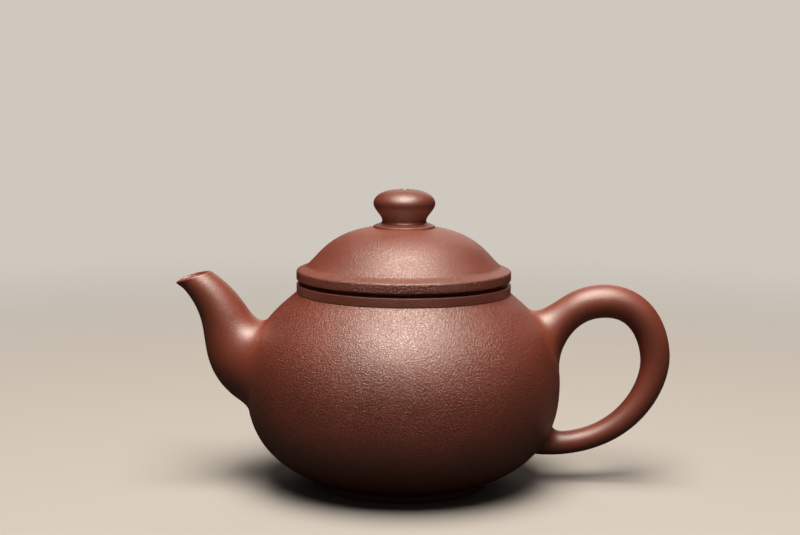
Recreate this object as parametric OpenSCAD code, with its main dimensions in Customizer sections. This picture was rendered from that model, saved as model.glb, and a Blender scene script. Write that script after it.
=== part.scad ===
// Round-bellied stoneware teapot, built as a potter lutes it together from thrown, beaten and rolled clay.
// Millimetres. The origin is the middle of the foot on the table, +Z up, spout towards -X, handle towards +X.

/* [Belly] */
// Radius of the belly at its widest
belly_r = 44; // [38:0.5:52]
// Height of the widest place above the table
belly_z = 29; // [24:0.5:33]
// Height of the shoulder where the neck stands
shoulder_z = 54; // [48:0.5:62]
// Thickness of the beaten wall
wall = 2.6; // [1.8:0.1:3.4]
// Fullness of the lower half, as a share of its width
lower_full = 0.78; // [0.6:0.01:0.9]
// Fullness of the shoulder, as a share of its height
upper_full = 0.64; // [0.5:0.01:0.75]
// Rise of the bottom away from the foot, in degrees
bottom_rise = 20; // [12:1:30]
// Slope of the shoulder where it meets the neck, in degrees
shoulder_slope = 38; // [25:1:50]

/* [Foot] */
// Outer radius of the foot ring
foot_r = 24; // [20:0.5:28]
// Height of the foot ring
foot_h = 1.8; // [1:0.1:3]
// Width of the foot ring's clay strip
foot_w = 4.5; // [3.5:0.1:7]
// How far the base disc's edge lies inside the foot ring's outer edge
base_inset = 2.5; // [1.5:0.1:3.4]

/* [Neck] */
// Outer radius of the neck ring and of the lid's seat
neck_r = 29.9; // [26:0.1:33]
// Width of the neck ring, from its outside to the mouth that the lid's flange drops into
neck_w = 4.3; // [3.4:0.1:7]
// Height of the neck ring
neck_h = 3.1; // [2:0.1:6]

/* [Lid] */
// Height of the lid's rim at its rolled edge
rim_h = 3.1; // [2.4:0.1:5]
// Rise of the rim's top from the rolled edge to the dome
rim_rise = 1.1; // [0.5:0.1:2]
// Radius of the rounded edges of the rim
rim_round = 0.8; // [0.3:0.1:1.1]
// Width of the ledge between the rim's edge and the dome's foot
rim_ledge = 2.6; // [1.8:0.1:4]
// Height of the dome from its foot to its flat crown
dome_h = 11.2; // [8:0.1:15]
// Thickness of the dome
dome_wall = 2.4; // [1.8:0.1:3]
// Slope of the dome at its foot, in degrees
dome_slope = 40; // [34:1:55]
// Slope of the dome beside the knob's collar, in degrees
crown_slope = 8.5; // [4:0.5:14]
// Depth of the flange below the rim
flange_h = 7; // [4:0.5:10]
// Thickness of the flange
flange_w = 2.3; // [1.6:0.1:3]
// Clearance all round between the flange and the mouth
lid_clearance = 0.3; // [0.2:0.05:0.6]

/* [Knob] */
// Radius of the knob at its widest
knob_r = 8.5; // [7.5:0.1:11]
// Height of the knob above its collar
knob_h = 9.6; // [8:0.1:12]
// Height of the knob's widest place above its collar
knob_belly_z = 5.6; // [4.6:0.1:6.4]
// Radius of the knob's waist
waist_r = 6.1; // [4.5:0.1:7]
// Height of the waist above the collar
waist_z = 1.2; // [0.8:0.1:2]
// Radius of the knob's foot
knob_foot_r = 7.4; // [7.1:0.1:8]
// How far the collar reaches beyond the knob's foot
collar_ledge = 1.2; // [0.6:0.1:2.5]
// Thickness of the collar
collar_h = 0.7; // [0.5:0.1:1.5]
// Radius of the air hole through the knob
vent_r = 1; // [0.7:0.1:1.5]

/* [Spout] */
// How far the tip reaches beyond the belly
spout_reach = 19.8; // [15:0.2:26]
// How far the tip's lip lies below the top of the neck
spout_tip_drop = 0.9; // [-3:0.1:6]
// Height of the middle of the spout's root above the belly's widest place
spout_root_rise = 4; // [0:0.5:7]
// Flared radius of the root, inside the belly's surface
spout_root_r = 15.2; // [12:0.1:16.5]
// Half the thickness at the mouth
spout_mouth_r = 4.05; // [3.2:0.05:4.6]
// Tilt of the mouth's lip, in degrees, rising away from the tip
lip_tilt = 19; // [5:1:30]
// Radius of the pour hole in the belly's wall
pour_r = 6.6; // [5:0.1:7]
// Thickness of the clay round the mouth
spout_lip = 1.1; // [0.8:0.05:1.6]
// Width of the spout's root across the pot, as a share of its height
spout_root_width = 0.84; // [0.7:0.01:1]
// Width of the mouth across the pot, as a share of its thickness
spout_mouth_width = 1.15; // [1:0.01:1.3]

/* [Strainer] */
// How far the pierced ball reaches beyond the pour hole all round
strainer_lap = 1.8; // [1:0.1:3.5]
// Thickness of the pierced ball
strainer_wall = 1.4; // [1:0.1:1.8]
// Radius of each pierced hole
strainer_hole_r = 0.85; // [0.5:0.05:1]

/* [Handle] */
// How far the loop reaches beyond the belly
handle_reach = 30.7; // [24:0.2:38]
// How far out from the belly the loop's highest place lies
handle_crest = 14.5; // [9:0.1:17]
// How far the loop's top edge lies below the top of the neck
handle_top_drop = 0.1; // [-4:0.1:6]
// How far the middle of the upper root lies below the shoulder
handle_root_drop = 18; // [12:0.1:20]
// Height of the middle of the lower end above the foot ring
handle_end_rise = 11.1; // [8:0.1:14]
// Half the thickness at the upper root, inside the belly
handle_root_r = 6; // [4.6:0.1:9]
// Half the thickness at the top of the loop
handle_top_r = 4.85; // [3.8:0.05:5.4]
// Half the thickness at the outer side
handle_side_r = 4.05; // [3.2:0.05:4.8]
// Half the thickness near the lower end
handle_low_r = 3.3; // [2.6:0.05:4]
// Half the thickness at the lower end, inside the belly
handle_end_r = 3; // [2.6:0.1:6.2]
// Width across the pot, as a share of the thickness
handle_width = 1.08; // [0.9:0.01:1.3]

/* [Hidden] */

// Thin layer of slip left between luted pieces
lute = 0.02;
// Turned curves are drawn with this many straight steps, and rings with this many sides
steps = 20;
turned = 96;
spout_rings = 30;
spout_sides = 28;
handle_rings = 22;
handle_sides = 20;
hole_sides = 24;
// How far a round quarter turn pulls straight on, as a share of its span
round_pull = 0.56;
// Eased edges of rings are drawn this far round, in degrees
ease_sweep = 75;

base_r = foot_r - base_inset;
mouth_r = neck_r - neck_w;
neck_top = shoulder_z + neck_h;
rim_edge_z = neck_top + rim_h;
rim_top = rim_edge_z + rim_rise;
crown_z = rim_top + dome_h;
collar_top = crown_z + collar_h;
base_top = foot_h + wall * cos(bottom_rise);
flange_r = mouth_r - lid_clearance;
flange_inner_r = flange_r - flange_w;
dome_r = neck_r - rim_ledge;
collar_r = knob_foot_r + collar_ledge;
strainer_r = pour_r + strainer_lap;
spout_root_z = belly_z + spout_root_rise;

// Points along a cubic curve, its direction, and the same curve moved to its left by a wall's thickness
function bez(p, t) = pow(1 - t, 3) * p[0] + 3 * t * pow(1 - t, 2) * p[1]
    + 3 * t * t * (1 - t) * p[2] + pow(t, 3) * p[3];
function bez_dir(p, t) = let (d = pow(1 - t, 2) * (p[1] - p[0])
    + 2 * t * (1 - t) * (p[2] - p[1]) + t * t * (p[3] - p[2])) d / norm(d);
function left(d) = [-d[1], d[0]];
function curve(p, gap = 0) = [for (i = [0:steps]) bez(p, i / steps) + gap * left(bez_dir(p, i / steps))];
function reversed(a) = [for (i = [len(a) - 1:-1:0]) a[i]];
function slope(a) = [cos(a), sin(a)];
function arc(c, r, from, to, n = 5) = [for (i = [0:n]) c + r * slope(from + (to - from) * i / n)];

// The belly's half outline, from the foot up to the widest place, and from there up to the neck
lower_half = [
    [foot_r, foot_h],
    [foot_r, foot_h] + lower_full * (belly_r - foot_r) * slope(bottom_rise),
    [belly_r, (foot_h + belly_z) / 2],
    [belly_r, belly_z]
];
shoulder_pull = 3;
upper_half = [
    [belly_r, belly_z],
    [belly_r, belly_z + upper_full * (shoulder_z - belly_z)],
    [neck_r, shoulder_z] + shoulder_pull * slope(-shoulder_slope),
    [neck_r, shoulder_z]
];
function belly_side(gap = 0) = concat(curve(lower_half, gap), curve(upper_half, gap));
// The belly's radius at a height, on its outer face or gap millimetres inside it
function belly_at(z, gap = 0) = lookup(z, [for (q = belly_side(gap)) [q[1], q[0]]]);

module revolve(outline) {
    rotate_extrude($fn = turned) polygon(outline);
}

// Everything inside the belly's outer face moved inwards by gap, or outwards where gap is negative
module belly_space(gap) {
    side = belly_side(gap);
    revolve(concat([[0, side[0][1]]], side, [[0, side[len(side) - 1][1]]]));
}

// The same for the neck ring, which a spout on a low shoulder has to leave free
module neck_space(gap) {
    translate([0, 0, shoulder_z]) cylinder(r = neck_r - gap, h = neck_h, $fn = turned);
}

// A solid through a row of rings of points, all with the same number of points
module lofted(rings) {
    n = len(rings[0]);
    last = len(rings) - 1;
    points = [for (ring = rings) each ring];
    walls = [for (i = [0:last - 1], j = [0:n - 1]) let (a = i * n + j, b = i * n + (j + 1) % n)
        each [[a, b, b + n], [a, b + n, a + n]]];
    caps = [[for (j = [n - 1:-1:0]) j], [for (j = [0:n - 1]) last * n + j]];
    polyhedron(points, concat(walls, caps), convexity = 6);
}

// Near the belly a luted skin flares into a skirt, which the potter smooths down onto the belly
skirt_width = 1.5;
skirt_height = 6;
skirt_depth = 1;
function skirt(d) = skirt_width * (d > 0
    ? pow(max(0, 1 - d / skirt_height), 2)
    : max(0, 1 + d / skirt_depth));
function off_belly(p) = norm([p[0], p[1]]) - belly_at(p[2]);

// A ring of n points round a place on an upright curve, facing along dir, high and wide as given.
// skirts says how much of the skirt it gets on the curve's left, on its right and on both flanks.
function ring_at(c, dir, high, wide, n, skirts) = [
    for (j = [0:n - 1]) let (
        a = 360 * j / n,
        out = [-dir[1] * high * cos(a), wide * sin(a), dir[0] * high * cos(a)],
        p = [c[0], 0, c[1]] + out,
        above = pow(max(cos(a), 0), 2),
        below = pow(min(cos(a), 0), 2),
        share = skirts * [above, below, 1 - above - below]
    ) p + share * skirt(off_belly(p)) * out / norm(out)
];

// Belly: the beaten wall, with a flat lip round the mouth and one round the base disc
module belly() {
    color([0.49, 0.25, 0.20]) difference() {
        revolve(concat(
            [[base_r, base_top], [base_r, foot_h]],
            belly_side(),
            [[mouth_r, shoulder_z], [mouth_r, shoulder_z - wall * cos(shoulder_slope)]],
            reversed(belly_side(wall))
        ));
        pour_hole();
    }
}

// The round hole that lets the tea into the spout
module pour_hole() {
    translate([-belly_at(spout_root_z), 0, spout_root_z])
        rotate([0, 90, 0])
            cylinder(r = pour_r, h = 4 * wall, center = true, $fn = turned);
}

// Base disc: let into the belly's bottom and flush with it
module base_disc() {
    color([0.45, 0.23, 0.18]) translate([0, 0, foot_h])
        cylinder(r = base_r - lute, h = base_top - foot_h, $fn = turned);
}

// Foot ring: a rolled strip with its table edge eased
foot_ease = 0.5;
module foot_ring() {
    color([0.43, 0.21, 0.17]) revolve(concat(
        [[foot_r - foot_w, foot_h]],
        [[foot_r - foot_w, foot_ease], [foot_r - foot_w + foot_ease, 0]],
        [[foot_r - foot_ease, 0]],
        arc([foot_r - foot_ease, foot_ease], foot_ease, -ease_sweep, 0),
        [[foot_r, foot_h]]
    ));
}

// Neck ring: the upright band that the lid sits on
neck_ease = 0.25;
module neck_ring() {
    color([0.44, 0.22, 0.17]) revolve([
        [mouth_r, shoulder_z],
        [neck_r, shoulder_z],
        [neck_r, neck_top - neck_ease],
        [neck_r - neck_ease, neck_top],
        [mouth_r + neck_ease, neck_top],
        [mouth_r, neck_top - neck_ease]
    ]);
}

// Spout: the centre line leaves the belly nearly level, turns up and leans out again to the mouth.
// Its first ring stands inside the belly, covered by this much at the ring's top.
root_cover = 2.1;
lean = 143;
lean_length = 19.2;
root_length = 9.2;
root_height = 0.2;
lip_half = spout_mouth_r / cos(lean - lip_tilt - 90);
mouth_mid = [-belly_r - spout_reach, neck_top - spout_tip_drop] + lip_half * slope(lip_tilt);
root_mid = [-belly_at(spout_root_z), spout_root_z];
root_top_z = min(spout_root_z + spout_root_r, shoulder_z);
spout_line = [
    [root_cover - belly_at(root_top_z), spout_root_z],
    root_mid + [-root_length, root_height],
    mouth_mid - lean_length * slope(lean),
    mouth_mid
];
// Outer radii and channel radii at the same four places
swell_width = 3.6;
channel_mouth_r = spout_mouth_r - spout_lip;
spout_radii = [spout_root_r, spout_root_r / 2, spout_mouth_r + swell_width, spout_mouth_r];
channel_radii = [pour_r, pour_r, channel_mouth_r + swell_width / 2, channel_mouth_r];

// The skirts of its underside, top and flanks. Each flares only from where that side has come clear of the
// belly, a share of the way along, and eases in over a little more of it.
spout_skirts = [0.4, 1.4, 1.1];
no_skirts = [0, 0, 0];
skirt_from = [0, 0.3, 0.1];
skirt_ease = 0.1;
function clear_share(t) = [for (from = skirt_from) min(max((t - from) / skirt_ease, 0), 1)];

// Rings from the root, where they lie closest, to the mouth and on past the lip that a slanted cut makes
past_lip = 1.25;
root_crowding = 1.35;
function spout_skin(radii, root_width, skirts) = [
    for (i = [0:spout_rings]) let (
        t = past_lip * pow(i / spout_rings, root_crowding),
        u = min(t, 1),
        dir = bez_dir(spout_line, u),
        over = max(t - 1, 0) * spout_reach,
        r = bez(radii, u),
        width = root_width + (spout_mouth_width - root_width) * u,
        clear = clear_share(t),
        shares = [for (k = [0:2]) skirts[k] * clear[k]]
    ) ring_at(bez(spout_line, u) + over * dir, dir, r, r * width, spout_sides, shares)
];

module spout() {
    color([0.47, 0.24, 0.19]) difference() {
        lofted(spout_skin(spout_radii, spout_root_width, spout_skirts));
        lofted(spout_skin(channel_radii, 1, no_skirts));
        belly_space(-lute);
        neck_space(-lute);
        translate([mouth_mid[0], 0, mouth_mid[1]])
            rotate([0, -lip_tilt, 0])
                translate([-2 * spout_reach, -2 * spout_reach, 0])
                    cube(4 * spout_reach);
    }
}

// Strainer: a pierced half ball luted over the pour hole from inside, each row an angle and a count of holes
strainer_rows = [[0, 1], [27, 6], [54, 12]];
module strainer() {
    color([0.44, 0.22, 0.17]) intersection() {
        belly_space(wall + lute);
        translate([-belly_at(spout_root_z, wall), 0, spout_root_z]) difference() {
            sphere(r = strainer_r, $fn = turned);
            sphere(r = strainer_r - strainer_wall, $fn = turned);
            for (row = strainer_rows, k = [0:row[1] - 1])
                rotate([360 * k / row[1], 0, 0]) rotate([0, 90 - row[0], 0])
                    translate([0, 0, strainer_r - 2 * strainer_wall])
                        cylinder(r = strainer_hole_r, h = 3 * strainer_wall, $fn = hole_sides);
        }
    }
}

// Handle: one rolled rope of clay in three sweeps, thickest at the upper root and thinnest near its end
side_height = 3.7;
handle_root_z = shoulder_z - handle_root_drop;
handle_end_z = foot_h + handle_end_rise;
loop_top = [belly_r + handle_crest, neck_top - handle_top_drop - handle_top_r];
loop_pull = 0.51;
loop_side = [belly_r + handle_reach - handle_side_r, (loop_top[1] + handle_end_z) / 2 + side_height];
// The rope starts and ends this deep in the belly, its root climbing away and its end dipping under
rope_root_depth = 5.7;
rope_end_depth = 3;
rope_root_length = 3;
rope_root_height = 4.2;
rope_end_length = 21.2;
rope_end_height = 6.1;
crest_length = 17.5;
rope_root = [belly_at(handle_root_z) - rope_root_depth, handle_root_z];
rope_end = [belly_at(handle_end_z) - rope_end_depth, handle_end_z];
top_to_side = loop_side - loop_top;
side_to_end = loop_side[1] - handle_end_z;
handle_lines = [
    [
        rope_root,
        rope_root + [rope_root_length, rope_root_height],
        loop_top - [crest_length, 0],
        loop_top
    ], [
        loop_top,
        loop_top + [loop_pull * top_to_side[0], 0],
        loop_side - [0, loop_pull * top_to_side[1]],
        loop_side
    ], [
        loop_side,
        loop_side - [0, loop_pull * side_to_end],
        rope_end + [rope_end_length, -rope_end_height],
        rope_end
    ]
];
flare_from = 0.7;
function root_flare(t) = handle_top_r + (handle_root_r - handle_top_r) * pow(1 - t, 2);
function end_flare(t) = t < flare_from
    ? handle_side_r + (handle_low_r - handle_side_r) * t / flare_from
    : handle_low_r + (handle_end_r - handle_low_r) * pow((t - flare_from) / (1 - flare_from), 2);
root_skirts = [0.8, 0, 0.6];
end_skirts = [0.3, 1, 0.6];
function handle_r(sweep, t) = sweep == 0 ? root_flare(t)
    : sweep == 1 ? handle_top_r + (handle_side_r - handle_top_r) * t
    : end_flare(t);

module handle() {
    color([0.48, 0.24, 0.19]) difference() {
        lofted([
            for (sweep = [0:2], i = [(sweep == 0 ? 0 : 1):handle_rings]) let (
                t = i / handle_rings,
                line = handle_lines[sweep],
                r = handle_r(sweep, t),
                skirts = sweep == 0 ? root_skirts : end_skirts
            ) ring_at(bez(line, t), bez_dir(line, t), r, r * handle_width, handle_sides, skirts)
        ]);
        belly_space(-lute);
    }
}

// Lid rim: the plate's rolled edge, a touch proud of the neck, easing up to the dome
module lid_rim() {
    color([0.47, 0.24, 0.19]) revolve(concat(
        [[flange_inner_r, neck_top], [neck_r - rim_round, neck_top]],
        arc([neck_r - rim_round, neck_top + rim_round], rim_round, -ease_sweep, 0),
        arc([neck_r - rim_round, rim_edge_z - rim_round], rim_round, 0, ease_sweep),
        [[dome_r, rim_top], [flange_inner_r, rim_top]]
    ));
}

// Lid dome: a beaten cap, tight at its foot and nearly flat beside the collar on its crown
foot_pull = 0.28;
crown_pull = 0.67;
dome_span = dome_r - collar_r;
dome_line = [
    [dome_r, rim_top],
    [dome_r, rim_top] + foot_pull * dome_span * slope(180 - dome_slope),
    [collar_r, crown_z] - crown_pull * dome_span * slope(180 - crown_slope),
    [collar_r, crown_z]
];
module lid_dome() {
    inner = curve(dome_line, dome_wall);
    color([0.50, 0.26, 0.20]) revolve(concat(
        curve(dome_line),
        [[vent_r, crown_z], [vent_r, crown_z - dome_wall]],
        reversed([for (q = inner) if (q[1] > rim_top && q[1] < crown_z - dome_wall) q]),
        [[dome_r - dome_wall / sin(dome_slope), rim_top]]
    ));
}

// Lid flange: the upright ring that keeps the lid on when the pot is tipped
flange_ease = 0.4;
module lid_flange() {
    low = neck_top - flange_h;
    color([0.44, 0.22, 0.17]) revolve([
        [flange_inner_r, low + flange_ease],
        [flange_inner_r + flange_ease, low],
        [flange_r - flange_ease, low],
        [flange_r, low + flange_ease],
        [flange_r, neck_top],
        [flange_inner_r, neck_top]
    ]);
}

// Knob collar: a thin disc that seats the knob on the crown
module knob_collar() {
    color([0.46, 0.23, 0.18]) revolve([
        [vent_r, crown_z],
        [collar_r, crown_z],
        [collar_r, crown_z + collar_h / 2],
        [knob_foot_r, collar_top],
        [vent_r, collar_top]
    ]);
}

// Knob: a flattened ball on a waist, with the air hole down its middle
foot_lip = 0.2;
waist_full = 0.3;
under_full = 0.4;
top_full = 2 / 3;
waist_top = collar_top + waist_z;
knob_mid = collar_top + knob_belly_z;
knob_top = collar_top + knob_h;
knob_foot = [
    [knob_foot_r, collar_top],
    [waist_r + 2 * foot_lip, collar_top + foot_lip],
    [waist_r, (collar_top + waist_top) / 2],
    [waist_r, waist_top]
];
knob_under = [
    [waist_r, waist_top],
    [waist_r, waist_top + waist_full * (knob_mid - waist_top)],
    [knob_r, knob_mid - under_full * (knob_mid - waist_top)],
    [knob_r, knob_mid]
];
knob_over = [
    [knob_r, knob_mid],
    [knob_r, knob_mid + round_pull * (knob_top - knob_mid)],
    [knob_r * top_full, knob_top],
    [vent_r, knob_top]
];
module knob() {
    color([0.48, 0.24, 0.19]) revolve(concat(
        [[vent_r, collar_top]],
        curve(knob_foot),
        curve(knob_under),
        curve(knob_over)
    ));
}

belly();
base_disc();
foot_ring();
neck_ring();
spout();
strainer();
handle();
lid_dome();
lid_rim();
lid_flange();
knob_collar();
knob();
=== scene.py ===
# Round-bellied stoneware teapot, beaten, rolled and luted together by hand, on a studio table.
# Lengths are in millimetres, multiplied by MM where they reach a mesh. The spout points towards -X.
import math

import bmesh
import bpy
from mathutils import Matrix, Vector, noise
from mathutils.kdtree import KDTree


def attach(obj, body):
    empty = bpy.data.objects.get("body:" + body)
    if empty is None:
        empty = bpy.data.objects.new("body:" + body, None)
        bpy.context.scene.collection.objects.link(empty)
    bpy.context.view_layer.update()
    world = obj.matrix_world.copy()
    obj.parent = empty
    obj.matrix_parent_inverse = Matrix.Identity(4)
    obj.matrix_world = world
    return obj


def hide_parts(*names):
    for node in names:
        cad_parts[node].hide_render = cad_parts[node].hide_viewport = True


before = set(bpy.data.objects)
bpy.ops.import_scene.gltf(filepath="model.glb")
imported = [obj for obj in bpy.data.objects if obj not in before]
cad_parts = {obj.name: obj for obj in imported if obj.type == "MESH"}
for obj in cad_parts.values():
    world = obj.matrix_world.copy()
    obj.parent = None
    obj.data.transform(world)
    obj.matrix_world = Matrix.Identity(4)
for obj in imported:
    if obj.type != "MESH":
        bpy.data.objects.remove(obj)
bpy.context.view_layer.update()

# -------------------------------------------------------------------------------------------------------
# Belly. A wall of beaten clay, closed over the foot and drawn in to the mouth. Its skin is pear-skin clay:
# the wet scraper drags small grains about and leaves fine wrinkles, and fingers smooth some of them away.
MM = 0.001
TINY = 1e-4

BELLY_R, BELLY_Z, SHOULDER_Z = 44, 29, 54
LOWER_FULL, UPPER_FULL = 0.78, 0.62
BOTTOM_RISE, SHOULDER_FALL, SHOULDER_RUN = 20, 47, 4
FOOT_R, FOOT_H = 24, 1.8
NECK_R, MOUTH_R, MOUTH_SLOPE = 29.9, 25.6, 38
WALL = 2.6
BASE_R = 21.5
POUR_R = 6.6
SPOUT_ROOT_Z = 33
CLAY = (0.325, 0.050, 0.017)
CLAY_RED = (0.385, 0.055, 0.017)
# The darkest clay colour, for dark speckles and for the painted shade in the wrinkles' hollows.
CLAY_DARK_AND_HOLLOW_SHADE = (0.125, 0.020, 0.008)
MICA = (0.55, 0.30, 0.20, 1)
# A near-black colour, for dark sand grains and for the painted shade in small pits.
SAND_AND_PIT_SHADE = (0.030, 0.012, 0.010, 1)
GLOSS, CLAY_IOR = 1.0, 1.9
SHINE = (1.0, 0.95, 0.89, 1)
GRAIN_SIZE, SPECKLE_SIZE, PATCH_SIZE = 0.19, 0.42, 15
FLECK_H = 0.035
RUBBED_AWAY = 0.75


def slope(degrees):
    """A step of one along that slope, as across and up."""
    return Vector((math.cos(math.radians(degrees)), math.sin(math.radians(degrees))))


def bend(a, b, c, d, t):
    """A place along the cubic curve that leaves a towards b and comes into d from c."""
    return (1 - t) ** 3 * a + 3 * t * (1 - t) ** 2 * b + 3 * t * t * (1 - t) * c + t**3 * d


def curved(a, b, c, d, steps=24):
    """The places of that curve, end to end."""
    a, b, c, d = Vector(a), Vector(b), Vector(c), Vector(d)
    return [bend(a, b, c, d, i / steps) for i in range(steps + 1)]


def rounded(middle, radius, start, stop, steps=8):
    """The places of an arc, from one angle to another in degrees."""
    middle = Vector(middle)
    return [middle + radius * slope(start + (stop - start) * i / steps) for i in range(steps + 1)]


def inside(outline, wall):
    """The same outline moved to its left by the wall's thickness."""
    moved = []
    for i, point in enumerate(outline):
        before, after = outline[max(i - 1, 0)], outline[min(i + 1, len(outline) - 1)]
        way = (after - before).normalized()
        moved.append(point + wall * Vector((-way.y, way.x)))
    return moved


def turned(name, outline, sides=192):
    """One vertex is drawn along an outline of radii and heights, and the line is spun round the axis."""
    outline = [Vector(p) for p in outline]
    outline = [p for i, p in enumerate(outline) if i == 0 or (p - outline[i - 1]).length > TINY]
    bpy.ops.object.select_all(action="DESELECT")
    bpy.ops.mesh.primitive_plane_add(size=MM)
    piece = bpy.context.object
    piece.name = piece.data.name = name
    bpy.ops.object.mode_set(mode="EDIT")
    bpy.ops.mesh.merge(type="CENTER")
    bpy.ops.transform.translate(value=(outline[0].x * MM, 0, outline[0].y * MM))
    for a, b in zip(outline, outline[1:] + outline[:1]):
        step = ((b.x - a.x) * MM, 0, (b.y - a.y) * MM)
        bpy.ops.mesh.extrude_vertices_move(TRANSFORM_OT_translate={"value": step})
    bpy.ops.mesh.select_all(action="SELECT")
    bpy.ops.mesh.spin(steps=sides, angle=2 * math.pi, center=(0, 0, 0), axis=(0, 0, 1))
    bpy.ops.mesh.select_all(action="SELECT")
    bpy.ops.mesh.remove_doubles(threshold=2 * TINY * MM)
    bpy.ops.mesh.delete_loose()
    bpy.ops.mesh.select_all(action="SELECT")
    bpy.ops.mesh.normals_make_consistent(inside=False)
    bpy.ops.object.mode_set(mode="OBJECT")
    return piece


def hand_worked(piece, depth=0.10, patch=26):
    """Beating and scraping by hand leave shallow dips: the skin moves in or out by up to the depth."""
    for vertex in piece.data.vertices:
        out = Vector((vertex.co.x, vertex.co.y, 0))
        if out.length > MM:
            dip = noise.noise(vertex.co / (patch * MM))
            vertex.co += out.normalized() * dip * depth * MM


def smoothed(piece, angle=38):
    """The piece is shaded smooth, but for its edges that are sharper than the angle in degrees."""
    bpy.ops.object.select_all(action="DESELECT")
    piece.select_set(True)
    bpy.context.view_layer.objects.active = piece
    bpy.ops.object.shade_smooth_by_angle(angle=math.radians(angle))


LOWER_SIDE = curved(
    (FOOT_R, FOOT_H),
    Vector((FOOT_R, FOOT_H)) + LOWER_FULL * (BELLY_R - FOOT_R) * slope(BOTTOM_RISE),
    (BELLY_R, (FOOT_H + BELLY_Z) / 2),
    (BELLY_R, BELLY_Z),
    steps=32,
)
UPPER_SIDE = curved(
    (BELLY_R, BELLY_Z),
    (BELLY_R, BELLY_Z + UPPER_FULL * (SHOULDER_Z - BELLY_Z)),
    Vector((NECK_R, SHOULDER_Z)) + SHOULDER_RUN * slope(-SHOULDER_FALL),
    (NECK_R, SHOULDER_Z),
    steps=32,
)
BELLY_SIDE = LOWER_SIDE + UPPER_SIDE[1:]
BELLY_INSIDE = inside(BELLY_SIDE, WALL)


def belly_radius(z, side=BELLY_SIDE):
    """The belly's radius at a height."""
    for low, high in zip(side, side[1:]):
        if low.y <= z <= high.y:
            return low.x + (high.x - low.x) * (z - low.y) / (high.y - low.y)
    return side[0].x if z < side[0].y else side[-1].x


def bored(piece, radius, centre, length, turn=(0, math.pi / 2, 0), sides=64):
    """A round tool is pushed through the piece."""
    bpy.ops.object.select_all(action="DESELECT")
    bpy.ops.mesh.primitive_cylinder_add(
        vertices=sides, radius=radius * MM, depth=length * MM,
        location=[c * MM for c in centre], rotation=turn,
    )
    tool = bpy.context.object
    cut = piece.modifiers.new("bore", "BOOLEAN")
    cut.object, cut.operation, cut.solver = tool, "DIFFERENCE", "EXACT"
    bpy.context.view_layer.objects.active = piece
    bpy.ops.object.modifier_apply(modifier=cut.name)
    bpy.data.objects.remove(tool)


def new_material(name):
    """A material with its nodes and shader, and a function that adds a node with its settings and inputs."""
    made = bpy.data.materials.new(name)
    made.use_nodes = True
    tree = made.node_tree

    def add(kind, inputs=(), **settings):
        node = tree.nodes.new("ShaderNode" + kind)
        for key, value in settings.items():
            setattr(node, key, value)
        for key, value in dict(inputs).items():
            if isinstance(value, bpy.types.NodeSocket):
                tree.links.new(value, node.inputs[key])
            else:
                node.inputs[key].default_value = value
        return node

    return made, tree, tree.nodes["Principled BSDF"], add


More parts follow.
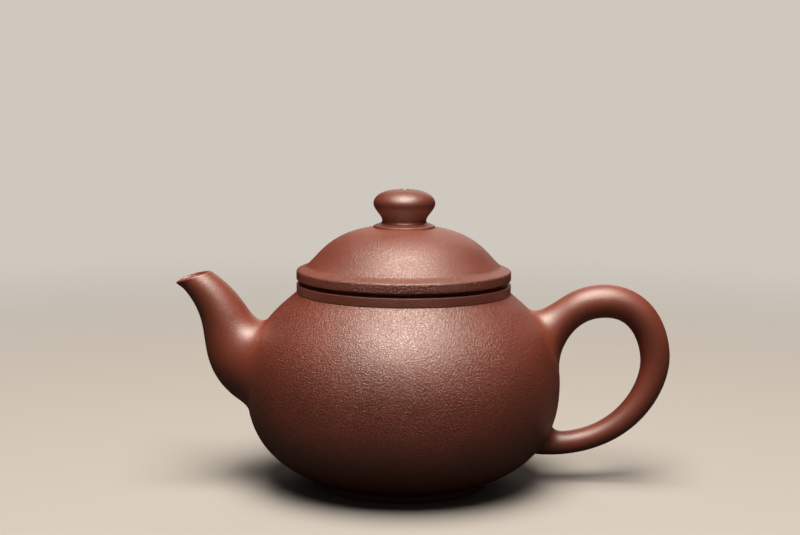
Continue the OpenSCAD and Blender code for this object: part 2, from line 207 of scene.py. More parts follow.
def fired_clay(name, wrinkle=0.060, pitch=0.47, polish=0.44, tooth=0.012, tone=1.0, rubbed=None):
    """Unglazed fired clay. wrinkle is the height of the pear-skin wrinkles and pitch their spacing, tooth is
    the height of the fine grain, all in mm. The wrinkle height also sets how dark the hollows between the
    wrinkles are painted, as painted shade. polish is the roughness that rubbing has left, and tone makes the
    clay darker or lighter. Where the surface has a rubbed attribute, it takes most of the wrinkles and of
    their painted shade away and brings the roughness towards the value of rubbed."""
    clay, tree, shader, add = new_material(name)
    place = add("TexCoord").outputs["Object"]

    def cloud(size, detail=2.0, rough=0.5, drift=0.0):
        settings = {"Scale": 1 / (size * MM), "Detail": detail, "Roughness": rough, "Distortion": drift}
        return add("TexNoise", {"Vector": place, **settings}).outputs["Fac"]

    def ranged(value, low, high, to_low=0.0, to_high=1.0):
        limits = {"From Min": low, "From Max": high, "To Min": to_low, "To Max": to_high}
        node = add("MapRange", {"Value": value, **limits}, interpolation_type="SMOOTHSTEP")
        return node.outputs["Result"]

    def maths(operation, a, b=0.0):
        return add("Math", {0: a, 1: b}, operation=operation).outputs[0]

    def mixed(share, a, b):
        return add("Mix", {0: share, 6: a, 7: b}, data_type="RGBA").outputs[2]

    def flecks(spacing, width, few, core=0.45):
        """Small round spots of sand or mica, or pits, in a few of the cells of a coarse net."""
        cells = add("TexVoronoi", {"Vector": place, "Scale": 1 / (spacing * MM), "Randomness": 1.0})
        spot = ranged(cells.outputs["Distance"], width / spacing * core, width / spacing, 1.0, 0.0)
        chance = add("SeparateColor", {"Color": cells.outputs["Color"]}).outputs["Red"]
        return maths("MULTIPLY", spot, maths("GREATER_THAN", chance, 1 - few))

    def raised(height, by, under=None):
        inputs = {"Height": height, "Strength": 1.0, "Distance": by * MM}
        if under is not None:
            inputs["Normal"] = under
        return add("Bump", inputs).outputs["Normal"]

    def shade(colour, share=1.0):
        return [c * tone * share for c in colour] + [1]

    left = 1.0
    if rubbed is not None:
        rub = add("Attribute", attribute_name="rubbed").outputs["Fac"]
        left = maths("SUBTRACT", 1.0, maths("MULTIPLY", rub, RUBBED_AWAY))
    wrinkles = ranged(cloud(pitch, detail=1.6, rough=0.6, drift=0.9), 0.38, 0.66)
    grain = cloud(GRAIN_SIZE, rough=0.6)
    patches = cloud(PATCH_SIZE, detail=3.0)
    speckle = ranged(cloud(SPECKLE_SIZE, detail=1.5), 0.42, 0.66)
    mica = flecks(spacing=1.9, width=0.17, few=0.30)
    sand = flecks(spacing=2.6, width=0.20, few=0.22)
    pits_with_painted_shade = flecks(spacing=6.5, width=0.26, few=0.30)

    # The colour is mixed from patches of tone, speckles, painted shade in the wrinkles' hollows and flecks.
    colour = mixed(ranged(patches, 0.32, 0.68), shade(CLAY), shade(CLAY_RED))
    colour = mixed(maths("MULTIPLY", speckle, 0.25), colour, shade(CLAY_DARK_AND_HOLLOW_SHADE))
    # Painted shade: the hollows between the wrinkles are painted darker, more so for taller wrinkles and less
    # where the clay is rubbed.
    painted_hollow_shade = maths("MULTIPLY", maths("SUBTRACT", 1.0, wrinkles), min(0.55, wrinkle * 9))
    colour = mixed(maths("MULTIPLY", painted_hollow_shade, left), colour, shade(CLAY_DARK_AND_HOLLOW_SHADE, 0.8))
    colour = mixed(maths("MULTIPLY", mica, 0.55), colour, MICA)
    colour = mixed(maths("MULTIPLY", sand, 0.6), colour, SAND_AND_PIT_SHADE)
    # Painted shade: the small pits are painted nearly as dark as the sand grains.
    colour = mixed(maths("MULTIPLY", pits_with_painted_shade, 0.7), colour, SAND_AND_PIT_SHADE)
    tree.links.new(colour, shader.inputs["Base Color"])

    # The polish varies a little from grain to grain and from patch to patch.
    worn = polish if rubbed is None else maths("ADD", rubbed, maths("MULTIPLY", left, polish - rubbed))
    worn = maths("ADD", worn, maths("MULTIPLY", maths("SUBTRACT", grain, 0.5), 0.20))
    worn = maths("ADD", worn, maths("MULTIPLY", maths("SUBTRACT", patches, 0.5), 0.14))
    tree.links.new(worn, shader.inputs["Roughness"])
    shader.inputs["Specular IOR Level"].default_value = GLOSS
    shader.inputs["IOR"].default_value = CLAY_IOR
    shader.inputs["Specular Tint"].default_value = SHINE

    skin = raised(maths("MULTIPLY", wrinkles, left), wrinkle)
    skin = raised(grain, tooth, under=skin)
    skin = raised(maths("SUBTRACT", mica, pits_with_painted_shade), FLECK_H, under=skin)
    tree.links.new(skin, shader.inputs["Normal"])
    return clay


def finished(piece, clay, body, slot, *nodes):
    """The piece gets its clay, rides on its body and stands for its part of the frame."""
    piece.data.materials.clear()
    piece.data.materials.append(clay)
    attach(piece, body)
    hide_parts(*nodes)


base_top = FOOT_H + WALL * math.cos(math.radians(BOTTOM_RISE))
mouth_low = SHOULDER_Z - WALL * math.cos(math.radians(MOUTH_SLOPE))
belly = turned(
    "belly_wall",
    [(BASE_R, base_top), (BASE_R, FOOT_H)]
    + BELLY_SIDE
    + [(MOUTH_R, SHOULDER_Z), (MOUTH_R, mouth_low)]
    + BELLY_INSIDE[::-1],
)
hand_worked(belly)
bored(belly, POUR_R, (-belly_radius(SPOUT_ROOT_Z), 0, SPOUT_ROOT_Z), 4 * WALL)
smoothed(belly)
pot_skin = fired_clay("pear_skin_clay", rubbed=0.49)
finished(belly, pot_skin, "pot", "body_clay", "belly")

# -------------------------------------------------------------------------------------------------------
# Base. A flat disc let into the belly's bottom, and under it a rolled strip bent into the foot ring. Both
# are trimmed with a wooden knife and left matt.
HAIR = 0.02
DISC_R, DISC_LOW = BASE_R - HAIR, FOOT_H + 0.05
DISC_EDGE_W, DISC_EDGE_H = 0.3, 0.15
plain_clay = fired_clay("plain_clay", wrinkle=0.012, polish=0.60, tone=0.88)
disc = turned(
    "base_disc_clay",
    [
        (0, DISC_LOW),
        (DISC_R - DISC_EDGE_W, DISC_LOW),
        (DISC_R, DISC_LOW + DISC_EDGE_H),
        (DISC_R, base_top),
        (0, base_top),
    ],
)
smoothed(disc)
finished(disc, plain_clay, "pot", "base_clay", "base_disc")

FOOT_W, FOOT_ROUND = 4.5, 0.6
foot = turned(
    "foot_ring_clay",
    [(FOOT_R - FOOT_W, FOOT_H)]
    + rounded((FOOT_R - FOOT_W + FOOT_ROUND, FOOT_ROUND), FOOT_ROUND, 180, 270, 5)
    + rounded((FOOT_R - FOOT_ROUND, FOOT_ROUND), FOOT_ROUND, -90, 0, 5)
    + [(FOOT_R - HAIR, FOOT_H)],
)
smoothed(foot)
finished(foot, plain_clay, "pot", "base_clay", "foot_ring")

# -------------------------------------------------------------------------------------------------------
# Neck ring. An upright band of clay round the mouth. Its top is trimmed true where the lid sits and a
# little lower outside that, and a scored line shows where the band meets the shoulder.
NECK_TOP, NECK_IN, NECK_ROUND, MOUTH_ROUND = 57.1, 0.06, 0.1, 0.3
SCORE_W, SCORE_H = 0.28, 0.22
SEAT_IN, TRIM_IN, TRIM_LOW, TRIM_FALL = 2.0, 1.5, 0.5, 0.05
neck = turned(
    "neck_ring_clay",
    [(MOUTH_R, SHOULDER_Z), (NECK_R - SCORE_W, SHOULDER_Z), (NECK_R - NECK_IN, SHOULDER_Z + SCORE_H)]
    + rounded((NECK_R - NECK_ROUND, NECK_TOP - TRIM_LOW - TRIM_FALL - NECK_ROUND), NECK_ROUND, 0, 90, 4)
    + [(NECK_R - TRIM_IN, NECK_TOP - TRIM_LOW), (NECK_R - SEAT_IN, NECK_TOP)]
    + rounded((MOUTH_R + MOUTH_ROUND, NECK_TOP - MOUTH_ROUND), MOUTH_ROUND, 90, 180, 5),
)
hand_worked(neck, depth=0.06)
smoothed(neck)
band_clay = fired_clay("band_clay", wrinkle=0.040, pitch=0.5, polish=0.50, tone=0.80)
finished(neck, band_clay, "pot", "ring_clay", "neck_ring")

# -------------------------------------------------------------------------------------------------------
# Spout. Rolled over a tapered stick, bent while leather-hard, cut off on the slant at the lip and luted
# over the pour hole. Its root is smoothed onto the belly with a wet finger until no seam shows.
SPOUT_SIDES, SPOUT_RINGS, ROOT_RINGS, LIP_RINGS = 96, 46, 14, 8
SPOUT_REACH, TIP_Z = 19.65, 56.2
LIP_TILT, LIP_SWELL, MOUTH_LEAN, MOUTH_HALF = 19, 0.5, 143, 4.05
ROOT_COVER, ROOT_PULL, MOUTH_PULL, PAST_TIP = 2.1, Vector((-9.2, 0.2)), 19.2, 20
SKIN_HALF, SKIN_WIDE = [15.2, 7.6, 7.65, MOUTH_HALF], (0.84, 1.15)
CHANNEL_HALF, CHANNEL_WIDE = [POUR_R, POUR_R, 4.5, 2.3], (1.0, 1.15)
CHANNEL_SUNK = 0.3
FLARE, FLARE_DEEP = 1.1, 1.0
ROOT_WITHIN, ROOT_SUNK, ROOT_EASE = 0.8, 0.012, 0.62
LIP_WITHIN = (0.6, 1.5)
ROOT_CROWD, LIP_CROWD, SWELL_LEAN = 1.5, 1.7, 0.8
HALVINGS, SETTLINGS, NEARBY = 26, 4, 0.01

# Under the spout, over it and on its flanks, these are how far its root is smoothed out over the belly,
# how far from the belly its own shape begins, and how round its lip is.
SPOUT_SPREAD, SPOUT_CLEAR, LIP_ROUND = (1.2, 3.4, 5.6), (2.0, 5.6, 7.8), (0.25, 0.6, 0.45)

lip_half = MOUTH_HALF / math.cos(math.radians(MOUTH_LEAN - LIP_TILT - 90))
mouth_mid = Vector((-BELLY_R - SPOUT_REACH, TIP_Z)) + lip_half * slope(LIP_TILT)
SPOUT_LINE = [
    Vector((ROOT_COVER - belly_radius(SPOUT_ROOT_Z + SKIN_HALF[0]), SPOUT_ROOT_Z)),
    Vector((-belly_radius(SPOUT_ROOT_Z), SPOUT_ROOT_Z)) + ROOT_PULL,
    mouth_mid - MOUTH_PULL * slope(MOUTH_LEAN),
    mouth_mid,
]


def in_pot(side_view):
    """A place or a way of the side view, as it lies in the pot."""
    return Vector((side_view.x, 0, side_view.y))


def rope_way(middle_at, t, last):
    """The way that a rope of clay runs in the side view, at t along its middle line."""
    return (middle_at(min(t + NEARBY, last)) - middle_at(max(t - NEARBY, 0))).normalized()


def rope_skin(middle, way, half, wide, angle):
    """A place on a rope's skin, at an angle round it from the left of the way it runs."""
    across = half * math.cos(angle)
    return Vector((middle.x - way.y * across, half * wide * math.sin(angle), middle.y + way.x * across))


def spout_middle(t):
    return bend(*SPOUT_LINE, t)


def spout_place(halves, wide, t, angle):
    """A place on the spout's skin or channel. Past the tip both run straight on, as far as the lip's cut."""
    u = min(max(t, 0), 1)
    way = rope_way(spout_middle, u, 1)
    middle = spout_middle(u) + (t - u) * PAST_TIP * way
    return rope_skin(middle, way, bend(*halves, u), wide[0] + (wide[1] - wide[0]) * u, angle)


def belly_widening(z):
    """How much the belly's radius grows over a millimetre of height."""
    return belly_radius(z + 0.5) - belly_radius(z - 0.5)


def off_belly(point):
    """How far a place lies off the belly's skin, measured straight out from it."""
    off = Vector((point.x, point.y)).length - belly_radius(point.z)
    return off * math.cos(math.atan(belly_widening(point.z)))


def belly_out(point):
    """The way straight out of the belly's skin near a place."""
    flat = Vector((point.x, point.y, 0)).normalized()
    return (flat + Vector((0, 0, -belly_widening(point.z)))).normalized()


def furthest(holds, near, far):
    """How far along from near to far it still holds."""
    for _ in range(HALVINGS):
        middle = (near + far) / 2
        if holds(middle):
            near = middle
        else:
            far = middle
    return near


def clear_of_belly(skin, height):
    """How far along a rope its skin comes out to that height over the belly."""
    return furthest(lambda t: off_belly(skin(t)) < height, 0, ROOT_WITHIN)


def by_side(angle, first, last, flanks):
    """A measure that has one value at angle 0, another opposite it and a third on both flanks."""
    share = math.cos(angle) ** 2
    return share * (first if math.cos(angle) > 0 else last) + (1 - share) * flanks


def smoothed_root(skin, middle_at, spread, clear):
    """One line of a luted root, which leaves the belly along its skin and runs on into the rope's."""
    crossing, start = clear_of_belly(skin, 0), clear_of_belly(skin, clear)
    corner, end = skin(crossing), skin(start)
    onward = (skin(start + NEARBY) - end).normalized()
    out = belly_out(corner)
    across = corner - in_pot(middle_at(crossing))
    across = (across - across.dot(out) * out).normalized()
    landing = corner + spread * across
    for _ in range(SETTLINGS):
        landing -= belly_out(landing) * off_belly(landing)
    out = belly_out(landing)
    inward = corner - landing
    inward -= inward.dot(out) * out
    landing -= ROOT_SUNK * out
    leave = landing + ROOT_EASE * inward
    arrive = end - ROOT_EASE * (end - corner).length * onward
    return [bend(landing, leave, arrive, end, (i / ROOT_RINGS) ** ROOT_CROWD) for i in range(ROOT_RINGS)]


def hand_drawn(name, rings, closed_ends=False):
    """A rope drawn out of a ring of clay: each new ring is extruded from the last and set in its place."""
    bpy.ops.object.select_all(action="DESELECT")
    bpy.ops.mesh.primitive_circle_add(vertices=len(rings[0]), radius=MM)
    piece = bpy.context.object
    piece.name = piece.data.name = name
    bpy.ops.object.mode_set(mode="EDIT")
    bpy.ops.mesh.select_all(action="SELECT")
    for number, ring in enumerate(rings):
        if number:
            bpy.ops.mesh.extrude_edges_move()
        shape = bmesh.from_edit_mesh(piece.data)
        drawn = [v for v in shape.verts if v.select]
        for vertex, place in zip(drawn, ring):
            vertex.co = place * MM
        bmesh.update_edit_mesh(piece.data)
    bpy.ops.mesh.select_all(action="DESELECT")
    shape = bmesh.from_edit_mesh(piece.data)
    for edge in shape.edges:
        if edge.is_boundary:
            edge.select_set(True)
    bmesh.update_edit_mesh(piece.data)
    if closed_ends:
        bpy.ops.mesh.edge_face_add()
    else:
        bpy.ops.mesh.bridge_edge_loops()
    bpy.ops.mesh.select_all(action="SELECT")
    bpy.ops.mesh.normals_make_consistent(inside=False)
    bpy.ops.object.mode_set(mode="OBJECT")
    return piece


def lip_cut(point):
    """How far a place lies above the slanted cut of the lip, which is a little full towards the tip."""
    off = Vector((point.x, point.z)) - mouth_mid
    along = min(max(off.x / lip_half / 2 + 0.5, 0), 1)
    return off.dot(slope(LIP_TILT + 90)) - LIP_SWELL * math.sin(math.pi * along**SWELL_LEAN)


def lip_end(skin, lowered):
    """Where a line of the spout's skin meets the lip's cut, lowered by the rounding of the edge."""
    return furthest(lambda t: lip_cut(skin(t)) < -lowered, *LIP_WITHIN)


def spout_line(angle):
    """One line of the spout's wall, from the thin edge of its root over the lip and back down the channel."""

    def skin(t):
        return spout_place(SKIN_HALF, SKIN_WIDE, t, angle)

    def channel(t):
        straight = spout_place(CHANNEL_HALF, CHANNEL_WIDE, t, angle)
        widened = FLARE * min(max(1 + lip_cut(straight) / FLARE_DEEP, 0.0), 1.0)
        return spout_place([half + widened for half in CHANNEL_HALF], CHANNEL_WIDE, t, angle)

    clear, lip_round = by_side(angle, *SPOUT_CLEAR), by_side(angle, *LIP_ROUND)
    line = smoothed_root(skin, spout_middle, by_side(angle, *SPOUT_SPREAD), clear)
    start, end = clear_of_belly(skin, clear), lip_end(skin, lip_round)
    line += [skin(start + (end - start) * i / SPOUT_RINGS) for i in range(SPOUT_RINGS + 1)]
    inner_start, inner_end = clear_of_belly(channel, -CHANNEL_SUNK), lip_end(channel, lip_round)
    outer, inner, crest = skin(end), channel(inner_end), in_pot(slope(LIP_TILT + 90))
    for i in range(1, LIP_RINGS):
        turn = math.pi * i / LIP_RINGS
        level = (outer + inner) / 2 + (outer - inner) / 2 * math.cos(turn)
        line.append(level + crest * lip_round * math.sin(turn))
    inner_run = inner_start - inner_end
    shares = [(i / SPOUT_RINGS) ** LIP_CROWD for i in range(SPOUT_RINGS + 1)]
    line += [channel(inner_end + inner_run * share) for share in shares]
    return line


spout_lines = [spout_line(2 * math.pi * side / SPOUT_SIDES) for side in range(SPOUT_SIDES)]
spout = hand_drawn("spout_clay", [list(ring) for ring in zip(*spout_lines)])
hand_worked(spout)
smoothed(spout, 60)
finished(spout, pot_skin, "pot", "limb_clay", "spout")

# -------------------------------------------------------------------------------------------------------
# Strainer. Half a ball of thin clay luted over the pour hole from inside and pierced with a round punch.
# It keeps the leaves out of the spout.
BALL_R, BALL_WALL, BALL_CUT, PUNCH_R = 8.4, 1.4, 0.9, 0.85
HOLE_ROWS = [(0, 1), (27, 6), (54, 12)]
ball_mid = Vector((-belly_radius(SPOUT_ROOT_Z, BELLY_INSIDE), 0, SPOUT_ROOT_Z))
bpy.ops.object.select_all(action="DESELECT")
bpy.ops.mesh.primitive_uv_sphere_add(
    segments=64, ring_count=32, radius=BALL_R * MM, location=ball_mid * MM
)
strainer = bpy.context.object
strainer.name = strainer.data.name = "strainer_clay"
bpy.ops.object.transform_apply(location=True, rotation=True, scale=True)
bpy.ops.object.mode_set(mode="EDIT")
bpy.ops.mesh.select_all(action="SELECT")
bpy.ops.mesh.bisect(
    plane_co=(ball_mid.x * MM + BALL_CUT * MM, 0, 0), plane_no=(1, 0, 0), clear_inner=True, use_fill=False
)
bpy.ops.object.mode_set(mode="OBJECT")
shell = strainer.modifiers.new("wall", "SOLIDIFY")
shell.thickness, shell.offset = BALL_WALL * MM, -1
bpy.ops.object.modifier_apply(modifier=shell.name)
for lean, count in HOLE_ROWS:
    for number in range(count):
        around, aside = 2 * math.pi * number / count, math.sin(math.radians(lean))
        way = Vector((math.cos(math.radians(lean)), -aside * math.sin(around), aside * math.cos(around)))
        bored(
            strainer, PUNCH_R, ball_mid + way * (BALL_R - BALL_WALL / 2), 3 * BALL_WALL,
            turn=way.to_track_quat("Z", "Y").to_euler(), sides=16,
        )
smoothed(strainer)
finished(strainer, plain_clay, "pot", "base_clay", "strainer")

# -------------------------------------------------------------------------------------------------------
# Handle. A rope of clay, thick at its upper root and tapering as it comes round, bent into an ear. Both
# ends are luted to the belly and smoothed in.
HANDLE_SIDES, HANDLE_RINGS, HANDLE_WIDE = 72, 96, 1.08
ROOT_HALF, TOP_HALF, SIDE_HALF, LOW_HALF, END_HALF = 4.8, 4.65, 4.05, 3.2, 3.25
LOW_AT = 0.7
CREST_OUT, CREST_Z, LOOP_REACH, LOOP_LIFT = 12.5, 56.5, 30.9, 3.65
ROOT_Z, ROOT_IN, END_Z, END_IN = 34.5, 4.5, 11.5, 3.5
ROOT_RUN, CREST_RUN, CREST_OVER = Vector((0.6, 5.5)), 12.4, 0.78
SIDE_OVER, SIDE_UNDER, END_RUN = 0.34, 0.41, Vector((25.2, -3.3))
LOOP_TOP = Vector((BELLY_R + CREST_OUT, CREST_Z - TOP_HALF))
LOOP_SIDE = Vector((BELLY_R + LOOP_REACH - SIDE_HALF, (LOOP_TOP.y + END_Z) / 2 + LOOP_LIFT))
ROPE_ROOT = Vector((belly_radius(ROOT_Z) - ROOT_IN, ROOT_Z))
ROPE_END = Vector((belly_radius(END_Z) - END_IN, END_Z))

# The rope runs in three sweeps: up to the top of the loop, over to its side, and round to the lower end.
HANDLE_LINES = [
    [ROPE_ROOT, ROPE_ROOT + ROOT_RUN, LOOP_TOP - Vector((CREST_RUN, 0)), LOOP_TOP],
    [
        LOOP_TOP,
        LOOP_TOP + Vector((CREST_OVER * (LOOP_SIDE.x - LOOP_TOP.x), 0)),
        LOOP_SIDE + Vector((0, SIDE_OVER * (LOOP_TOP.y - LOOP_SIDE.y))),
        LOOP_SIDE,
    ],
    [
        LOOP_SIDE,
        LOOP_SIDE - Vector((0, SIDE_UNDER * (LOOP_SIDE.y - END_Z))),
        ROPE_END + END_RUN,
        ROPE_END,
    ],
]
ROPE_LONG = len(HANDLE_LINES)

# The same measures as the spout's, for the loop's outer side, its inner side and its flanks.
UPPER_SPREAD, UPPER_CLEAR = (5.5, 3.0, 4.8), (9.0, 2.0, 6.8)
LOWER_SPREAD, LOWER_CLEAR = (1.0, 4.0, 3.2), (1.5, 5.2, 3.8)


def handle_half(u):
    """Half the rope's thickness, from the root at 0 past the top at 1 and the side at 2 to the end at 3."""
    if u < 1:
        return TOP_HALF + (ROOT_HALF - TOP_HALF) * (1 - u) ** 2
    if u < 2:
        return TOP_HALF + (SIDE_HALF - TOP_HALF) * (u - 1)
    t = u - 2
    if t < LOW_AT:
        return SIDE_HALF + (LOW_HALF - SIDE_HALF) * t / LOW_AT
    return LOW_HALF + (END_HALF - LOW_HALF) * ((t - LOW_AT) / (1 - LOW_AT)) ** 2


def handle_middle(u):
    """A place on the rope's middle line, along which each sweep counts for one."""
    sweep = min(int(u), ROPE_LONG - 1)
    return bend(*HANDLE_LINES[sweep], u - sweep)


def handle_skin(u, angle):
    """A place on the handle's skin, before its roots are smoothed in."""
    u = min(max(u, 0), ROPE_LONG)
    way = rope_way(handle_middle, u, ROPE_LONG)
    return rope_skin(handle_middle(u), way, handle_half(u), HANDLE_WIDE, angle)


def handle_line(angle):
    """One line of the handle's skin, from the thin edge of its upper root round to that of its lower end."""

    def root(skin, middle_at, spread, clear):
        clear = by_side(angle, *clear)
        return smoothed_root(skin, middle_at, by_side(angle, *spread), clear), clear_of_belly(skin, clear)

    upper, first = root(lambda u: handle_skin(u, angle), handle_middle, UPPER_SPREAD, UPPER_CLEAR)
    lower, last = root(
        lambda u: handle_skin(ROPE_LONG - u, angle),
        lambda u: handle_middle(ROPE_LONG - u),
        LOWER_SPREAD,
        LOWER_CLEAR,
    )
    run = ROPE_LONG - last - first
    line = [handle_skin(first + run * i / HANDLE_RINGS, angle) for i in range(HANDLE_RINGS + 1)]
    return upper + line + lower[::-1]


handle_lines = [handle_line(2 * math.pi * side / HANDLE_SIDES) for side in range(HANDLE_SIDES)]
handle = hand_drawn("handle_clay", [list(ring) for ring in zip(*handle_lines)], closed_ends=True)
hand_worked(handle)
smoothed(handle, 60)
finished(handle, pot_skin, "pot", "limb_clay", "handle")

# The wet finger that smooths the roots in also rubs the wrinkles off the belly round about them.
RUBBED_WIDTH = 6.0
landings = [line[0] for line in spout_lines + handle_lines] + [line[-1] for line in handle_lines]
root_places = KDTree(len(landings))
for number, place in enumerate(landings):
    root_places.insert(place, number)
root_places.balance()
for piece in (belly, spout, handle):
    rubbed = piece.data.attributes.new("rubbed", "FLOAT", "POINT")
    for vertex, value in zip(piece.data.vertices, rubbed.data):
        away = root_places.find(vertex.co / MM)[2] / RUBBED_WIDTH if piece is belly else 0.0
        away = min(away, 1.0)
        value.value = 1 - away * away * (3 - 2 * away)

# -------------------------------------------------------------------------------------------------------
# Lid. A flat plate with a rolled edge carries the beaten dome, and the flange under it drops into the
# mouth. The dome is smoothed down onto the plate, and the plate's edge stands just clear of the neck.
RIM_TOP, CROWN_Z = 61.3, 72.25
DOME_R, DOME_WALL, COLLAR_R, VENT_R = 27.3, 2.4, 8.6, 1.0
DOME_FOOT_SLOPE, DOME_FOOT_PULL = 40, 0.28
CROWN_SLOPE, CROWN_PULL = 8.5, 0.67
lid_skin = fired_clay("lid_clay_skin", wrinkle=0.052, pitch=0.42, polish=0.45, tooth=0.015, tone=1.04)

dome_span = DOME_R - COLLAR_R
dome_side = curved(
    (DOME_R, RIM_TOP),
    Vector((DOME_R, RIM_TOP)) + DOME_FOOT_PULL * dome_span * slope(180 - DOME_FOOT_SLOPE),
    Vector((COLLAR_R, CROWN_Z)) - CROWN_PULL * dome_span * slope(180 - CROWN_SLOPE),
    (COLLAR_R, CROWN_Z),
    steps=40,
)
dome_inside = [p for p in inside(dome_side, DOME_WALL) if RIM_TOP < p.y < CROWN_Z - DOME_WALL]
dome_foot_in = DOME_R - DOME_WALL / math.sin(math.radians(DOME_FOOT_SLOPE))
dome = turned(
    "lid_dome_clay",
    dome_side
    + [(VENT_R, CROWN_Z), (VENT_R, CROWN_Z - DOME_WALL)]
    + dome_inside[::-1]
    + [(dome_foot_in, RIM_TOP)],
)
hand_worked(dome, depth=0.08)
smoothed(dome)
finished(dome, lid_skin, "lid", "lid_clay", "lid_dome")

FLANGE_R, FLANGE_W, FLANGE_LOW, FLANGE_ROUND = 25.3, 2.3, 50.1, 0.7
PLATE_R = FLANGE_R - FLANGE_W
ARRIS_R, ARRIS_Z, RIM_ROUND = 29.9, 59.82, 0.75
RIM_LOW, RIM_LOW_ROUND, SEAT_R = 57.8, 0.3, 27.8
dome_run_out = curved((28.4, 60.95), (27.5, 61.25), (26.9, 61.5), (26.35, 62.2), steps=10)
rim = turned(
    "lid_rim_clay",
    [(PLATE_R, NECK_TOP), (SEAT_R, NECK_TOP), (SEAT_R + 0.15, RIM_LOW - 0.1), (SEAT_R + 0.35, RIM_LOW)]
    + rounded((ARRIS_R - RIM_LOW_ROUND, RIM_LOW + RIM_LOW_ROUND), RIM_LOW_ROUND, -90, 0, 6)
    + rounded((ARRIS_R - RIM_ROUND, ARRIS_Z), RIM_ROUND, 0, 70, 6)
    + dome_run_out
    + [(26.0, 61.9), (25.6, RIM_TOP + HAIR), (PLATE_R, RIM_TOP)],
)
hand_worked(rim, depth=0.06)
smoothed(rim)
rim_clay = fired_clay("rim_clay", wrinkle=0.095, pitch=0.50, polish=0.44, tooth=0.018)
finished(rim, rim_clay, "lid", "ring_clay", "lid_rim")

flange = turned(
    "lid_flange_clay",
    [(PLATE_R, NECK_TOP)]
    + rounded((PLATE_R + FLANGE_ROUND, FLANGE_LOW + FLANGE_ROUND), FLANGE_ROUND, 180, 270, 6)
    + rounded((FLANGE_R - FLANGE_ROUND, FLANGE_LOW + FLANGE_ROUND), FLANGE_ROUND, -90, 0, 6)
    + [(FLANGE_R, NECK_TOP)],
)
smoothed(flange)
finished(flange, plain_clay, "lid", "base_clay", "lid_flange")

# -------------------------------------------------------------------------------------------------------
# Knob. A flattened ball on a short waist, set on a thin collar and burnished. The air hole runs down its
# middle, through the collar and the dome.
COLLAR_TOP, KNOB_FOOT_R = 73.35, 6.9
collar_edge = curved(
    (COLLAR_R, CROWN_Z + 0.1), (8.6, CROWN_Z + 0.45), (8.45, CROWN_Z + 0.55), (8.1, CROWN_Z + 0.62), steps=6
)
collar = turned(
    "knob_collar_clay",
    [(VENT_R, CROWN_Z), (COLLAR_R, CROWN_Z)]
    + collar_edge
    + [(KNOB_FOOT_R, COLLAR_TOP), (VENT_R, COLLAR_TOP)],
)
smoothed(collar)
finished(collar, lid_skin, "lid", "knob_clay", "knob_collar")

WAIST_R, WAIST_TOP = 6.15, COLLAR_TOP + 0.85
KNOB_R, KNOB_MID, KNOB_TOP = 8.6, 78.9, 82.8
knob_foot = curved(
    (KNOB_FOOT_R, COLLAR_TOP), (6.4, COLLAR_TOP + 0.05), (WAIST_R, COLLAR_TOP + 0.3), (WAIST_R, WAIST_TOP),
    steps=10,
)
knob_under = curved(
    (WAIST_R, WAIST_TOP), (WAIST_R, WAIST_TOP + 1.3), (KNOB_R, KNOB_MID - 1.7), (KNOB_R, KNOB_MID),
    steps=20,
)
knob_over = curved(
    (KNOB_R, KNOB_MID), (KNOB_R, KNOB_MID + 2.2), (5.6, KNOB_TOP), (VENT_R + 0.35, KNOB_TOP - 0.05),
    steps=24,
)
knob = turned(
    "knob_clay_ball",
    [(VENT_R, COLLAR_TOP)] + knob_foot + knob_under + knob_over + [(VENT_R, KNOB_TOP - 0.35)],
    sides=128,
)
smoothed(knob)
# Painted shade: tone 0.72 paints the whole knob darker, standing in for the shade under its overhang and
# round its waist.
burnished_painted_dark = fired_clay("burnished_clay_painted_dark", wrinkle=0.020, pitch=0.6, polish=0.45, tooth=0.014, tone=0.72)
finished(knob, burnished_painted_dark, "lid", "knob_clay", "knob")

# -------------------------------------------------------------------------------------------------------
# Table, in metres. A pale sheet of paper lies under the pot and sweeps up behind it without a fold. Away
# from the pot it fades to one even tone. It throws little light back, so the pot's underside stays dark.
PAPER = (0.62, 0.575, 0.52, 1)
PAPER_SHADE = (0.04, 0.035, 0.03, 1)
PAPER_WIDE, PAPER_FRONT_Y, PAPER_BACK_Y, PAPER_RISE = 6.0, -2.0, 1.6, (0, 0.1, 2.6)
SWEEP_R = 0.9
FADE_FROM, FADE_TO = 0.13, 0.55
bpy.ops.object.select_all(action="DESELECT")
bpy.ops.mesh.primitive_plane_add(size=1)
paper = bpy.context.object
paper.name = paper.data.name = "paper_sweep"
bpy.ops.object.mode_set(mode="EDIT")
bpy.context.tool_settings.mesh_select_mode = (False, True, False)
bpy.ops.transform.resize(value=(PAPER_WIDE, PAPER_BACK_Y - PAPER_FRONT_Y, 1))
bpy.ops.transform.translate(value=(0, (PAPER_BACK_Y + PAPER_FRONT_Y) / 2, 0))


def pick_edges(wanted):
    """The paper's edges are selected where every end of the edge is wanted."""
    bpy.ops.mesh.select_all(action="DESELECT")
    shape = bmesh.from_edit_mesh(paper.data)
    for edge in shape.edges:
        edge.select_set(all(wanted(v.co) for v in edge.verts))
    bmesh.update_edit_mesh(paper.data)


pick_edges(lambda place: place.y > PAPER_BACK_Y - 0.01)
bpy.ops.mesh.extrude_edges_move(TRANSFORM_OT_translate={"value": PAPER_RISE})
pick_edges(lambda place: abs(place.y - PAPER_BACK_Y) < 0.01 and abs(place.z) < 0.01)
bpy.ops.mesh.bevel(offset=SWEEP_R, segments=32, affect="EDGES")
bpy.context.tool_settings.mesh_select_mode = (True, False, False)
bpy.ops.object.mode_set(mode="OBJECT")
smoothed(paper, 60)

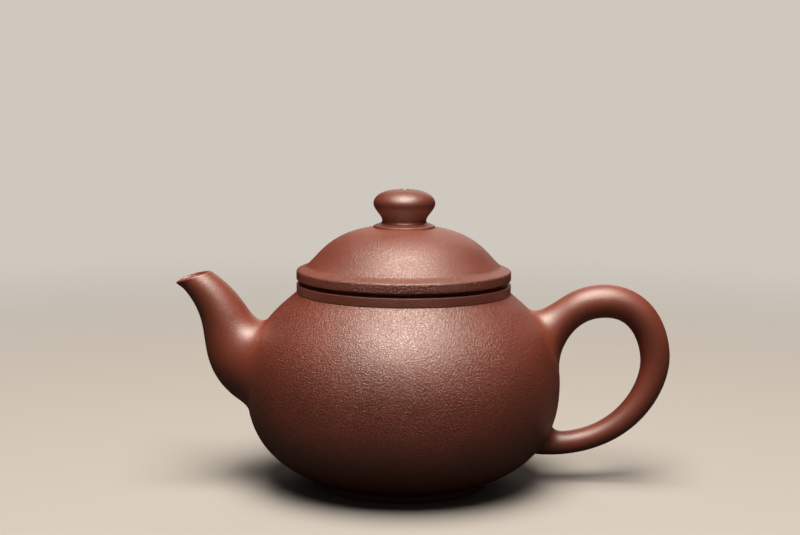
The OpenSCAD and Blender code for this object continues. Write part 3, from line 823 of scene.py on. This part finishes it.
pale_paper, tree, shader, add = new_material("pale_paper")
seen = add("LightPath").outputs["Is Camera Ray"]
sheet = add("Mix", {0: seen, 6: PAPER_SHADE, 7: PAPER}, data_type="RGBA").outputs[2]
tree.links.new(sheet, shader.inputs["Base Color"])
shader.inputs["Roughness"].default_value = 0.9
shader.inputs["Specular IOR Level"].default_value = 0.0
away = add("VectorMath", {0: add("TexCoord").outputs["Object"]}, operation="LENGTH").outputs["Value"]
fade = add(
    "MapRange", {"Value": away, "From Min": FADE_FROM, "From Max": FADE_TO}, interpolation_type="SMOOTHSTEP"
)
even = add("Emission", {"Color": PAPER, "Strength": 1.0}).outputs["Emission"]
share = add("Math", {0: fade.outputs["Result"], 1: seen}, operation="MULTIPLY").outputs[0]
blend = add("MixShader", {0: share, 1: shader.outputs["BSDF"], 2: even}).outputs["Shader"]
tree.links.new(blend, tree.nodes["Material Output"].inputs["Surface"])
paper.data.materials.append(pale_paper)

# -------------------------------------------------------------------------------------------------------
# Lamps, in metres. One large soft box hangs over the front of the table and a weaker one stands behind.
# The room adds a little even light.
LAMP_COLOUR, ROOM_COLOUR, ROOM_LIGHT = (1.0, 0.935, 0.86), (1.0, 0.97, 0.94, 1), 0.03
POT_MIDDLE = Vector((0, 0, 0.03))


def box_lamp(name, place, wide, long, watts):
    """A soft box that faces the middle of the pot."""
    bpy.ops.object.light_add(type="AREA", location=place)
    lamp = bpy.context.object
    lamp.name = name
    lamp.data.shape, lamp.data.size, lamp.data.size_y = "RECTANGLE", wide, long
    lamp.data.energy, lamp.data.color = watts, LAMP_COLOUR
    lamp.rotation_euler = (POT_MIDDLE - lamp.location).to_track_quat("-Z", "Y").to_euler()


box_lamp("soft_box", (0.0, -0.25, 0.87), wide=0.50, long=0.82, watts=10.6)
box_lamp("back_box", (0.15, 1.1, 0.45), wide=0.70, long=0.70, watts=1.8)

room = bpy.data.worlds.new("room")
room.use_nodes = True
room.node_tree.nodes["Background"].inputs["Color"].default_value = ROOM_COLOUR
room.node_tree.nodes["Background"].inputs["Strength"].default_value = ROOM_LIGHT
bpy.context.scene.world = room

# -------------------------------------------------------------------------------------------------------
# Camera. It stands a little above the lid and looks slightly down.
CAMERA_AWAY, CAMERA_UP, CAMERA_ASIDE = 420, 115.68, -1.08
LOOK_DOWN, ROLL, LENS, SENSOR = 7.429, 0.45, 68.30, 36
bpy.ops.object.camera_add(location=(CAMERA_ASIDE * MM, -CAMERA_AWAY * MM, CAMERA_UP * MM))
camera = bpy.context.object
camera.name = "camera"
camera.data.lens, camera.data.sensor_width = LENS, SENSOR
camera.data.clip_start, camera.data.clip_end = 0.01, 20
camera.rotation_mode = "XYZ"
camera.rotation_euler = (math.radians(90 - LOOK_DOWN), 0, 0)
camera.rotation_euler.rotate_axis("Z", math.radians(ROLL))
bpy.context.scene.camera = camera
bpy.context.scene.view_settings.view_transform = "Standard"
